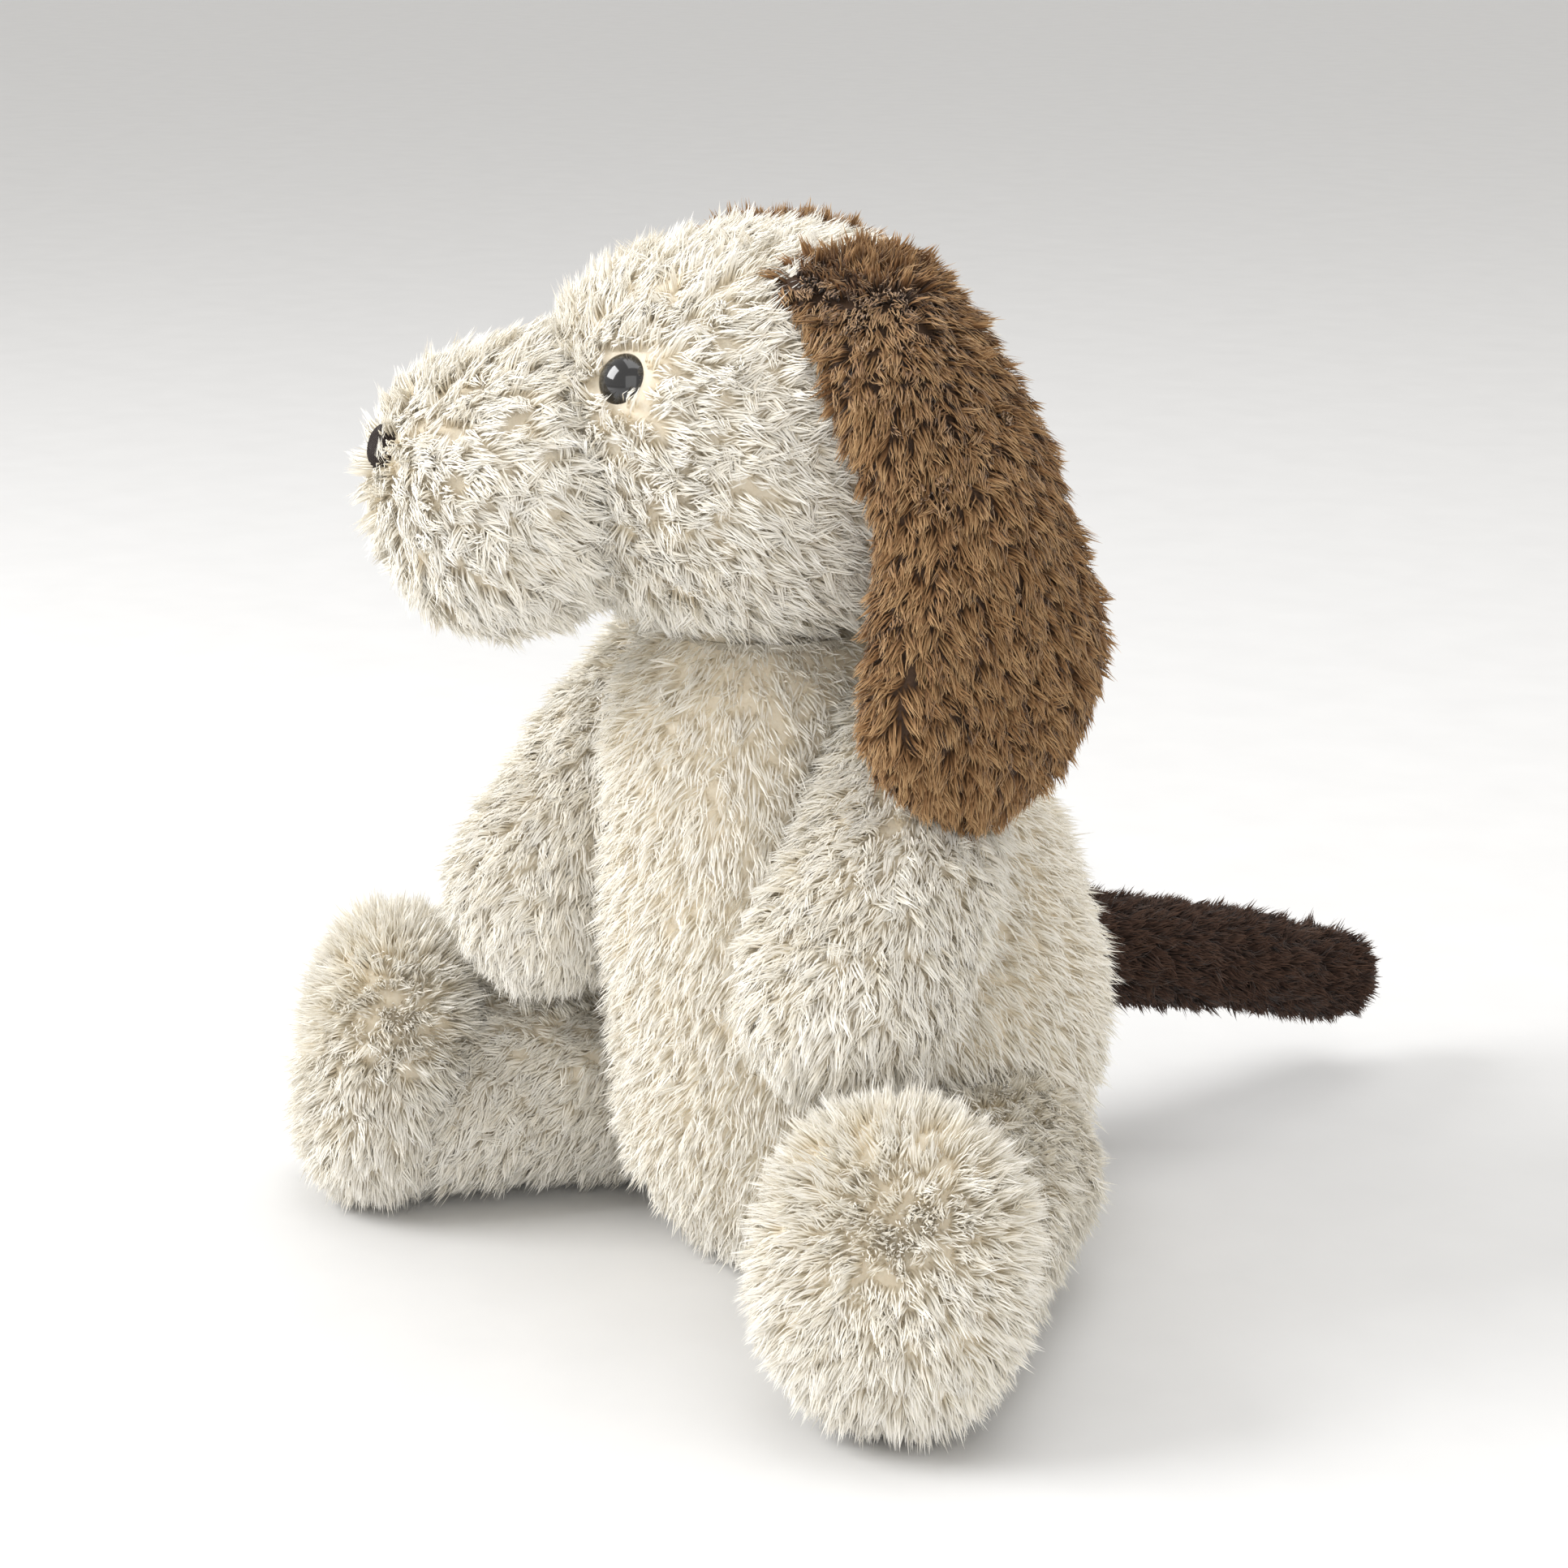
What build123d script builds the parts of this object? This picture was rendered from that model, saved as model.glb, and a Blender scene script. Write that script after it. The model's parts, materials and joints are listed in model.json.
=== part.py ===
from build123d import *
import math
import os

# Seated plush dog, in millimetres: +Z up, facing -Y, its own left at +X, and the
# origin on the ground under the middle of its seat. Every soft part is a closed
# cover of pile cloth around a filling. The outer face of a cover stands for the
# middle of the pile, so the tips of the pile reach about 4 mm further out.

# Cloth and clearances
CLOTH = 4.0            # backing cloth with the inner half of its pile
EASE = 0.3             # between a cover and the filling inside it
SWING_GAP = 0.8        # between parts that move on each other
THREAD_RADIUS = 0.8    # a row of stitches
POUCH_CLOTH = 1.0

# Torso: each row is a height, half width, half depth, and middle in Y
TORSO_SECTIONS = (
    (0, 27, 32, 1), (5, 36, 42, 1), (14, 43, 50, 1), (30, 49.5, 57, 1), (60, 52, 60, 1),
    (85, 47, 58.5, -3.5), (105, 42.5, 53.5, -9.5), (125, 35, 47, -17),
    (140, 28.5, 36, -23.5), (148, 22, 26, -26),
)
TORSO_TOP = TORSO_SECTIONS[-1][0]
NECK_CENTRE = (0, -28, 130)
NECK_RADIUS = 30
NECK_SEAM_HEIGHT = 150.5
ARMPIT_LOW = (26, -96, 86)      # corners of the room for an arm beside the chest
ARMPIT_HIGH = (86, -16, 152)

# Pouch of pellets in the seat, a fat sausage lying front to back
POUCH_FRONT = (0, -8, 25)
POUCH_BACK = (0, 26, 25)
POUCH_RADIUS = 18.5

# Row of stitches that closes the back
BACK_SEAM_START = (0, 57, 78)
BACK_SEAM_END = (0, 43.5, 105)

# Head, in its own frame: +X its left, +Y backwards, +Z up from its centre
HEAD_CENTRE = (-2, -31, 194)
HEAD_YAW = -29.5       # it looks to its right
SKULL_RADIUS = 46
MUZZLE_CENTRE = (0, -53.5, -10)
MUZZLE_RADIUS = 29
NOSE_RIGHT = (-4, -75, 6)
NOSE_LEFT = (4, -75, 6)
NOSE_RADIUS = 6

# Safety eyes: a dome on a shank, held from inside by a washer
EYE_TOWARDS = (30, -35, 17)
EYE_RADIUS = 6
EYE_HEIGHT = 4.6
SHANK_RADIUS = 2
SHANK_LENGTH = 9
WASHER_RADIUS = 6.5
WASHER_DEPTH = 4.7
WASHER_THICKNESS = 1.2

# Ears hang in a plane turned back from the side of the head. Each row is a
# station down the ear: distance out from the head's axis, height, place along
# the ear's width (forwards is plus), half width and half thickness
EAR_TURN = 25
EAR_STATIONS = (
    (30, 36, -3, 16, 8), (44, 28, -3, 18, 9.5), (55, 14, -5, 21, 11), (62, -3, -8, 23, 12),
    (66, -20, -11, 25, 12), (69, -37, -11, 27, 12.5), (70, -52, -9, 27, 12.5),
    (70, -62, -8, 22, 10.5), (70, -69, -8, 13, 6), (70, -72.5, -8, 5, 2),
)
EAR_HOLLOW_STATIONS = 8
EAR_ROOT_RADIUS = 8.6
EAR_ROOT_LENGTH = 33
EAR_OVERRUN = 20       # how far the cut between its two panels runs past the ear
EAR_BLOCK = 150

# Arms, from the shoulder to the paw
SHOULDER = (42, -16, 127)
SHOULDER_RADIUS = 13
PAW = (52, -50, 82)
PAW_RADIUS = 22
ARM_MIDDLE_RADIUS = 20.5

# Legs, from the hip to the ankle, with an upright foot at the end
HIP = (48, -2, 27)
HIP_RADIUS = 22
ANKLE = (82, -60, 29)
ANKLE_RADIUS = 24
LEG_INWARD_SWING = 20
FOOT_CENTRE = (90, -72, 36.5)
FOOT_SPLAY = 30.5
FOOT_LEAN = {"left": 20, "right": 12}
FOOT_HEIGHT = 66
FOOT_WIDTH = 54
FOOT_THICKNESS = 34
FOOT_ROUNDING = 14
SOLE_DEPTH = 5         # how far the sole panel wraps round the front of the foot
SOLE_BLOCK = 100       # space in front of the foot that holds the sole panel

# Tail
TAIL_ROOT = (0, 50, 59)
TAIL_ROOT_RADIUS = 13
TAIL_TIP = (3, 169, 27)
TAIL_TIP_RADIUS = 9.5
TAIL_SWING = 20        # the socket in the torso flares by this angle, so the tail can wag
TAIL_SOCKET_LENGTH = 30


def limb(start, start_radius, end, end_radius, middle_radius=None):
    """Round limb with a ball at each end; with a middle radius its side bulges to it."""
    axis = Vector(*end) - Vector(*start)
    length = axis.length
    tilt = math.asin((start_radius - end_radius) / length)

    def ball_point(height, radius, angle):
        return (radius * math.cos(angle), height + radius * math.sin(angle))

    low, high = ball_point(0, start_radius, tilt), ball_point(length, end_radius, tilt)
    low_half, high_half = (tilt - math.pi / 2) / 2, (tilt + math.pi / 2) / 2
    if middle_radius:
        side = ThreePointArc(low, (middle_radius, (low[1] + high[1]) / 2), high)
    else:
        side = Line(low, high)
    outline = Curve() + [
        ThreePointArc((0, -start_radius), ball_point(0, start_radius, low_half), low),
        side,
        ThreePointArc(high, ball_point(length, end_radius, high_half), (0, length + end_radius)),
        Line((0, length + end_radius), (0, -start_radius)),
    ]
    return Plane(origin=start, z_dir=axis) * revolve(Plane.XZ * make_face(outline), Axis.Z)


def ball(centre, radius):
    return Pos(*centre) * Sphere(radius)


def thread(start, end, radius=THREAD_RADIUS):
    """Straight row of stitches, as a thin round bar."""
    axis = Vector(*end) - Vector(*start)
    bar = Cylinder(radius, axis.length, align=(Align.CENTER, Align.CENTER, Align.MIN))
    return Plane(origin=start, z_dir=axis) * bar


def other_side(shape):
    """The same shape on the dog's right."""
    return mirror(shape, about=Plane.YZ)


def block(low, high):
    """Box between two opposite corners."""
    size = Vector(*high) - Vector(*low)
    return Pos(*(Vector(*low) + size / 2)) * Box(size.X, size.Y, size.Z)


def turned(point, degrees, shape):
    """Shape turned about an upright line through a point."""
    return Pos(*point) * Rot(0, 0, degrees) * Pos(*(-c for c in point)) * shape


def in_head(shape):
    """Takes a shape from the head's own frame to the dog's."""
    return Pos(*HEAD_CENTRE) * Rot(0, 0, HEAD_YAW) * shape


# Limbs as solids, each smaller all round by an inset


def arm(inset=0.0):
    return limb(SHOULDER, SHOULDER_RADIUS - inset, PAW, PAW_RADIUS - inset,
                ARM_MIDDLE_RADIUS - inset)


def leg_round(inset=0.0):
    return limb(HIP, HIP_RADIUS - inset, ANKLE, ANKLE_RADIUS - inset)


def foot(inset=0.0):
    outline = Plane.XZ * Rot(0, 0, 90) * SlotOverall(FOOT_HEIGHT - 2 * inset, FOOT_WIDTH - 2 * inset)
    slab = extrude(outline, FOOT_THICKNESS / 2 - inset, both=True)
    rims = slab.edges().filter_by(GeomType.LINE, reverse=True) + slab.edges().filter_by(Axis.Z)
    return fillet(rims, FOOT_ROUNDING - inset)


def in_foot(lean, shape):
    return Pos(*FOOT_CENTRE) * Rot(0, 0, FOOT_SPLAY) * Rot(-lean, 0, 0) * shape


def leg(lean, inset=0.0):
    return leg_round(inset) + in_foot(lean, foot(inset))


def tail(inset=0.0):
    return limb(TAIL_ROOT, TAIL_ROOT_RADIUS - inset, TAIL_TIP, TAIL_TIP_RADIUS - inset)


# Torso


def torso_loft(inset):
    faces = []
    for height, half_width, half_depth, middle in TORSO_SECTIONS:
        level = inset + height * (1 - 2 * inset / TORSO_TOP)
        faces.append(Pos(0, middle, level) * Ellipse(half_width - inset, half_depth - inset))
    return loft(faces)


def tail_socket(room):
    """Flared hollow round the root of the tail."""
    radius = TAIL_ROOT_RADIUS + room
    along = (Vector(*TAIL_TIP) - Vector(*TAIL_ROOT)).normalized()
    mouth = Vector(*TAIL_ROOT) + along * TAIL_SOCKET_LENGTH
    flare = TAIL_SOCKET_LENGTH * math.sin(math.radians(TAIL_SWING))
    return limb(TAIL_ROOT, radius, tuple(mouth), radius + flare)


def torso(inset=0.0):
    """Body with hollows where the limbs sit; a larger inset makes the hollows larger."""
    body = torso_loft(inset) + ball(NECK_CENTRE, NECK_RADIUS - inset)
    room = SWING_GAP + inset
    left, _, bottom = ARMPIT_LOW
    right, back, top = ARMPIT_HIGH
    armpit = block(
        (left - inset, ARMPIT_LOW[1], bottom - inset),
        (right, back + inset, top + inset),
    )
    for hollow in (turned(HIP, -LEG_INWARD_SWING, leg_round(-room)), arm(-room), armpit):
        body = body - hollow - other_side(hollow)
    return body - tail_socket(room)


# Head


def skull(inset=0.0):
    return in_head(Sphere(SKULL_RADIUS - inset))


def muzzle(inset=0.0):
    return in_head(ball(MUZZLE_CENTRE, MUZZLE_RADIUS - inset))


def muzzle_seam():
    """Ring that lies in the crease between the balls of the skull and the muzzle."""
    towards = Vector(*MUZZLE_CENTRE)
    reach = (towards.length**2 + SKULL_RADIUS**2 - MUZZLE_RADIUS**2) / (2 * towards.length)
    crease_radius = math.sqrt(SKULL_RADIUS**2 - reach**2)
    # The ring stands off the crease along the sum of the two balls' normals there
    along = reach / SKULL_RADIUS + (reach - towards.length) / MUZZLE_RADIUS
    across = crease_radius / SKULL_RADIUS + crease_radius / MUZZLE_RADIUS
    stand_off = 2 * (THREAD_RADIUS + EASE / 2) / (along**2 + across**2)
    ring = Torus(crease_radius + across * stand_off, THREAD_RADIUS)
    middle = towards.normalized() * (reach + along * stand_off)
    return in_head(Plane(origin=middle, z_dir=towards) * ring)


def ear_direction():
    """Outward and forward directions of the left ear in the head's frame."""
    turn = math.radians(EAR_TURN)
    return Vector(math.cos(turn), math.sin(turn), 0), Vector(math.sin(turn), -math.cos(turn), 0)


def ear_point(out, up, along=0.0):
    outward, forward = ear_direction()
    return outward * out + forward * along + Vector(0, 0, up)


def ear_root(inset=0.0):
    """Rolled top edge of the left ear, about which it swings."""
    out, up, along = EAR_STATIONS[0][:3]
    roll = Cylinder(EAR_ROOT_RADIUS - inset, EAR_ROOT_LENGTH - 2 * inset)
    return Plane(origin=ear_point(out, up, along), z_dir=ear_direction()[1]) * roll


def ear_loft(inset):
    """Thick flat sausage through the stations; its hollow stops short of the tip."""
    stations = EAR_STATIONS if inset == 0 else EAR_STATIONS[:EAR_HOLLOW_STATIONS]
    faces = []
    for index, (out, up, along, half_width, half_thickness) in enumerate(stations):
        before, after = stations[max(index - 1, 0)], stations[min(index + 1, len(stations) - 1)]
        run = ear_point(after[0], after[1]) - ear_point(before[0], before[1])
        across = ear_direction()[1].cross(run)
        plane = Plane(origin=ear_point(out, up, along), x_dir=across, z_dir=run)
        faces.append(plane * Ellipse(half_thickness - inset, half_width - inset))
    return loft(faces)


def ear_body(inset=0.0):
    """Hanging part of the left ear in the head's frame, hollowed where it lies on the skull."""
    return ear_loft(inset) - Sphere(SKULL_RADIUS + SWING_GAP + inset)


def ear_outer_side():
    """Block of space on the outer side of the ear's middle line."""
    middle = [(out, up) for out, up, *_ in EAR_STATIONS]
    first = (middle[0][0] - EAR_OVERRUN, middle[0][1] + EAR_OVERRUN / 2)
    last = (middle[-1][0], middle[-1][1] - EAR_OVERRUN)
    outline = Curve() + [
        Spline(first, *middle[::2], last),
        Polyline(last, (EAR_BLOCK, last[1]), (EAR_BLOCK, EAR_BLOCK), (first[0], EAR_BLOCK), first),
    ]
    outward, forward = ear_direction()
    upright = Plane(origin=(0, 0, 0), x_dir=outward, z_dir=forward)
    return extrude(upright * make_face(outline), EAR_BLOCK / 2, both=True)


def head(inset=0.0):
    """Skull with hollows for the neck and for the roots of both ears."""
    groove = ear_root(-SWING_GAP - inset)
    neck = ball(NECK_CENTRE, NECK_RADIUS + SWING_GAP + inset)
    return skull(inset) - in_head(groove) - in_head(other_side(groove)) - neck


def eye_plane(side):
    """Plane on the skull under an eye, facing outwards."""
    towards = Vector(side * EYE_TOWARDS[0], *EYE_TOWARDS[1:]).normalized()
    return Plane(origin=towards * SKULL_RADIUS, z_dir=towards)


def below(radius, top, bottom):
    """Disc that reaches from one depth under the skull's surface to another."""
    return Pos(0, 0, -(top + bottom) / 2) * Cylinder(radius, bottom - top)


def eye(side):
    """Domed eye, a slice of a ball, with the shank behind it."""
    dome_radius = (EYE_RADIUS**2 + EYE_HEIGHT**2) / (2 * EYE_HEIGHT)
    base = Pos(0, 0, -dome_radius) * Box(4 * dome_radius, 4 * dome_radius, 2 * dome_radius)
    dome = ball((0, 0, EYE_HEIGHT - dome_radius), dome_radius) - base
    return in_head(eye_plane(side) * (dome + below(SHANK_RADIUS, 0, SHANK_LENGTH)))


def eye_washer(side):
    bottom = WASHER_DEPTH + WASHER_THICKNESS
    ring = below(WASHER_RADIUS, WASHER_DEPTH, bottom) - below(SHANK_RADIUS, 0, SHANK_LENGTH)
    return in_head(eye_plane(side) * ring)


def eye_room(side):
    """Space that an eye's shank and washer need in the head's filling."""
    bottom = WASHER_DEPTH + WASHER_THICKNESS + EASE
    room = below(WASHER_RADIUS + EASE, 0, bottom) + below(SHANK_RADIUS + EASE, 0, SHANK_LENGTH + EASE)
    return in_head(eye_plane(side) * room)


# Rows of stitches at the pivots, through both cloths


def shoulder_seam():
    x, y, z = SHOULDER
    inner = x - SHOULDER_RADIUS
    return thread((inner - SWING_GAP - CLOTH, y, z), (inner + CLOTH, y, z))


def top_seam(centre, radius):
    """Upright row of stitches over the ball at a limb's root."""
    x, y, z = centre
    return thread((x, y, z + radius - CLOTH), (x, y, z + radius + SWING_GAP + CLOTH))


def neck_seam():
    """Flat ring of stitches that lies on the round top of the torso, about the head's pivot."""
    height = 2 * THREAD_RADIUS
    bottom = NECK_SEAM_HEIGHT - THREAD_RADIUS - NECK_CENTRE[2]
    inner_radius = math.sqrt((NECK_RADIUS + EASE / 2) ** 2 - bottom**2)
    ring = Cylinder(inner_radius + height, height) - Cylinder(inner_radius, height)
    return Pos(NECK_CENTRE[0], NECK_CENTRE[1], NECK_SEAM_HEIGHT) * ring


def ear_seam(radius=THREAD_RADIUS):
    out, up, along = EAR_STATIONS[0][:3]
    half = EAR_ROOT_LENGTH / 2 - 1
    return thread(ear_point(out, up, along - half), ear_point(out, up, along + half), radius)


nodes = {}


def add_stuffed(name, solid, rooms=()):
    """Adds a cover and its filling, from a function that gives the solid at an inset."""
    cover = solid(0) - solid(CLOTH)
    filling = solid(CLOTH + EASE)
    for room in rooms:
        cover = cover - room
        filling = filling - room
    nodes[name + "_cover"] = cover
    nodes[name + "_filling"] = filling


# Seams first, because the covers have holes for them
seams = {
    "left_shoulder_seam": shoulder_seam(),
    "left_hip_seam": top_seam(HIP, HIP_RADIUS),
    "tail_seam": top_seam(TAIL_ROOT, TAIL_ROOT_RADIUS),
}
for joint in ("shoulder", "hip"):
    seams["right_" + joint + "_seam"] = other_side(seams["left_" + joint + "_seam"])
seam_rooms = {name: offset(seam, EASE) for name, seam in seams.items()}
back_seam = thread(BACK_SEAM_START, BACK_SEAM_END)

# Torso, with the pouch of pellets inside its filling
add_stuffed("torso", torso, [*seam_rooms.values(), back_seam])
pouch = [limb(POUCH_FRONT, POUCH_RADIUS - inset, POUCH_BACK, POUCH_RADIUS - inset)
         for inset in (-EASE, 0, POUCH_CLOTH, POUCH_CLOTH + EASE)]
nodes["torso_filling"] = nodes["torso_filling"] - pouch[0]
nodes["pellet_pouch"] = pouch[1] - pouch[2]
nodes["pellets"] = pouch[3]
nodes["back_seam"] = back_seam
nodes["neck_seam"] = neck_seam()

# Head, muzzle, nose and eyes
nodes["muzzle_seam"] = muzzle_seam()
add_stuffed("head", head)
nodes["muzzle_cover"] = muzzle() - skull() - muzzle(CLOTH)
nodes["muzzle_filling"] = muzzle(CLOTH + EASE) - skull(-EASE)
nodes["nose_embroidery"] = in_head(limb(NOSE_RIGHT, NOSE_RADIUS, NOSE_LEFT, NOSE_RADIUS)) - muzzle()
for name, side in (("left", 1), ("right", -1)):
    nodes[name + "_eye"] = eye(side)
    nodes[name + "_eye_washer"] = eye_washer(side)
    nodes["head_cover"] = nodes["head_cover"] - nodes[name + "_eye"]
    nodes["head_filling"] = nodes["head_filling"] - eye_room(side)

# Ears: two panels sewn round the edge over a filling; the lining carries the rolled root.
# Each shape is put in its place before it is cut, which keeps the cut faces sound
ear_shapes = {
    "shell": ear_body() - ear_body(CLOTH),
    "outer_side": ear_outer_side(),
    "root": ear_root(),
    "root_room": ear_root(-EASE),
    "seam": ear_seam(),
    "seam_room": ear_seam(THREAD_RADIUS + EASE),
    "filling": ear_body(CLOTH + EASE) - ear_root(-EASE),
}
for side in ("left", "right"):
    placed = {
        name: in_head(shape if side == "left" else other_side(shape))
        for name, shape in ear_shapes.items()
    }
    nodes[side + "_ear_outer"] = placed["shell"] & (placed["outer_side"] - placed["root_room"])
    lining = placed["shell"] - placed["outer_side"]
    nodes[side + "_ear_lining"] = lining + placed["root"] - placed["seam_room"]
    nodes[side + "_ear_filling"] = placed["filling"]
    nodes[side + "_ear_seam"] = placed["seam"]

# Arms, legs and tail
add_stuffed("left_arm", arm, [seam_rooms["left_shoulder_seam"]])
for piece in ("cover", "filling"):
    nodes["right_arm_" + piece] = other_side(nodes["left_arm_" + piece])
for name in ("left", "right"):
    lean = FOOT_LEAN[name]
    shell = leg(lean, 0) - leg(lean, CLOTH) - seam_rooms["left_hip_seam"]
    before = SOLE_DEPTH - (FOOT_THICKNESS + SOLE_BLOCK) / 2
    front = in_foot(lean, Pos(0, before, 0) * Box(SOLE_BLOCK, SOLE_BLOCK, SOLE_BLOCK))
    pieces = {
        "leg_cover": shell - front,
        "sole_panel": shell & front,
        "leg_filling": leg(lean, CLOTH + EASE) - seam_rooms["left_hip_seam"],
    }
    for piece, shape in pieces.items():
        nodes[name + "_" + piece] = shape if name == "left" else other_side(shape)
add_stuffed("tail", tail, [seam_rooms["tail_seam"]])
nodes.update(seams)

os.makedirs("parts", exist_ok=True)
for name, shape in nodes.items():
    export_step(shape, os.path.join("parts", name + ".step"))
    print(name, round(shape.volume))
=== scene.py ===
"""Plush dog, seated: stuffed skins under a combed, tufted pile, worked out as whole numpy grids.

Every stuffed part is one closed, padded skin that stands for its cover, with a pile of pointed
blades gathered into tufts over it. The moulded eyes and the stitched nose are pieces of their
own. Sizes are in millimetres in the fields below and go into the meshes in metres.
"""

import json
import logging
import math
from dataclasses import dataclass, field
from enum import Enum

import bpy
import numpy as np
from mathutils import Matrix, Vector

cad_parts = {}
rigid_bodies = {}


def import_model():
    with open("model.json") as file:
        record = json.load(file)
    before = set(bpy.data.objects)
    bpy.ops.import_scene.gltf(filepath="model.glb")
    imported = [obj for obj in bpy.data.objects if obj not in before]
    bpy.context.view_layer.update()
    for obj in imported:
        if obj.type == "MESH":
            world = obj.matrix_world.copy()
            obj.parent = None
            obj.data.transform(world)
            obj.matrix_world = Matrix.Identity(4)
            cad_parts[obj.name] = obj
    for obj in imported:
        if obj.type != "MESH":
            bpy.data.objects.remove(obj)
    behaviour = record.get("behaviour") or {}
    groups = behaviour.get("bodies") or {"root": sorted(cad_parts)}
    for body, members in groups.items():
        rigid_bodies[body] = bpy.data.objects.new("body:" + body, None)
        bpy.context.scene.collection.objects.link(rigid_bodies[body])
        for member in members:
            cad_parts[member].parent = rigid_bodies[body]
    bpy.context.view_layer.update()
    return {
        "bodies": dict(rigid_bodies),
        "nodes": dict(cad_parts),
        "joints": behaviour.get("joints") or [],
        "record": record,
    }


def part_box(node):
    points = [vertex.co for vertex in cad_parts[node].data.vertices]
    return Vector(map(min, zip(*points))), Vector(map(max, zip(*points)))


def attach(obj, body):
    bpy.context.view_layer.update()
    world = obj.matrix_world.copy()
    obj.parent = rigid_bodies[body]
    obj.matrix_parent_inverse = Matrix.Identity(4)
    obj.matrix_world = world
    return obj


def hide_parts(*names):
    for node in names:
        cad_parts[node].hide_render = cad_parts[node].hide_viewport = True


LOG = logging.getLogger("plush_dog")
MM = 0.001
FLOOR_CLEARANCE = 0.3 * MM      # the lowest a strand may reach
SKIN_DEPTH = 1.0                # how far a skin lies inside its cover's outer face, mm
PILE_UV = "PileUV"              # across: a value of its own for each tuft; up: root to tip

Array = np.ndarray
Triple = tuple[float, float, float]
Section = tuple[float, float, float, float]
Station = tuple[float, float, float, float, float]

SIDES = (("left", 1), ("right", -1))        # each side's name and the sign of its x
UP = np.array([0.0, 0.0, 1.0])
OFF_AXIS = np.array([0.0, 0.3, 1.0])        # a direction that no limb runs along
LUMP_WAVES = 6
LUMP_GAIN = 1.6                             # makes up for waves that cancel in the mean
DARK_PLACE, LIGHT_PLACE = 0.25, 0.75        # where a plain finish's shades sit on its ramp
BLADE_HEIGHTS = np.array([0.0, 0.0, 0.5, 0.5, 1.0])     # of a blade's five corners


# Small pieces of geometry, on whole arrays


def unit(vectors: Array) -> Array:
    """Scales each vector to length one.

    Args:
        vectors: Any array whose last axis is x, y, z.

    Returns:
        The same directions, each of length one.
    """
    length = np.linalg.norm(vectors, axis=-1, keepdims=True)
    return vectors / np.maximum(length, 1e-12)


def upright_turn(degrees: float) -> Array:
    """Matrix that turns columns of x, y, z about the vertical.

    Args:
        degrees: Angle, anticlockwise from above.

    Returns:
        The matrix, three by three.
    """
    angle = math.radians(degrees)
    return np.array([
        [math.cos(angle), -math.sin(angle), 0.0],
        [math.sin(angle), math.cos(angle), 0.0],
        [0.0, 0.0, 1.0],
    ])


def leaning_turn(degrees: float) -> Array:
    """Matrix that tips a shape about its own x axis.

    Args:
        degrees: Angle from y towards z.

    Returns:
        The matrix, three by three.
    """
    angle = math.radians(degrees)
    return np.array([
        [1.0, 0.0, 0.0],
        [0.0, math.cos(angle), -math.sin(angle)],
        [0.0, math.sin(angle), math.cos(angle)],
    ])


def smooth_rows(table: Array, count: int) -> Array:
    """Reads a table of stations along a smooth curve that passes through every row.

    Between two rows the value is the Catmull-Rom cubic of the four rows around, which leaves
    each row in the direction from the one before it to the one after it.

    Args:
        table: One row for each station.
        count: Number of rows wanted, spread evenly over the stations.

    Returns:
        The table at count places.
    """
    table = np.asarray(table, float)
    padded = np.vstack([2 * table[0] - table[1], table, 2 * table[-1] - table[-2]])
    place = np.linspace(0, len(table) - 1, count)
    index = np.minimum(place.astype(int), len(table) - 2)
    t = (place - index)[:, None]
    a, b, c, d = (padded[index + k] for k in range(4))
    return 0.5 * (
        2 * b + (c - a) * t + (2 * a - 5 * b + 4 * c - d) * t**2 + (3 * b - a - 3 * c + d) * t**3
    )


def lengthened(rows: Array, extra: int) -> Array:
    """The rows, with the first and the last repeated extra times at their ends."""
    return np.concatenate([np.repeat(rows[:1], extra, 0), rows, np.repeat(rows[-1:], extra, 0)])


def soft_lumps(points: Array, size: float, height: float, seed: int) -> Array:
    """Slow unevenness of hand stuffing: the mean of a few sine waves in seeded directions.

    Args:
        points: Places, in metres.
        size: Length of the waves, in metres.
        height: Largest rise, in metres.
        seed: Picks the directions.

    Returns:
        The rise at each point.
    """
    rng = np.random.default_rng(seed)
    directions = unit(rng.normal(size=(LUMP_WAVES, 3)))
    phases = rng.uniform(0, 2 * math.pi, LUMP_WAVES)
    waves = np.sin(points @ directions.T * (2 * math.pi / size) + phases)
    return height * waves.mean(axis=-1) * LUMP_GAIN


# Forms: each gives its skin as a grid and says how deep a point lies inside it


@dataclass
class Form:
    """A closed rounded shape whose grid has rows from pole to pole and columns round it."""

    def grid(self) -> Array:
        """Points of the skin, as rows by columns by three."""
        raise NotImplementedError

    def depth(self, points: Array) -> Array:
        """Depth of each point under the surface, in metres, negative outside."""
        raise NotImplementedError


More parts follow.
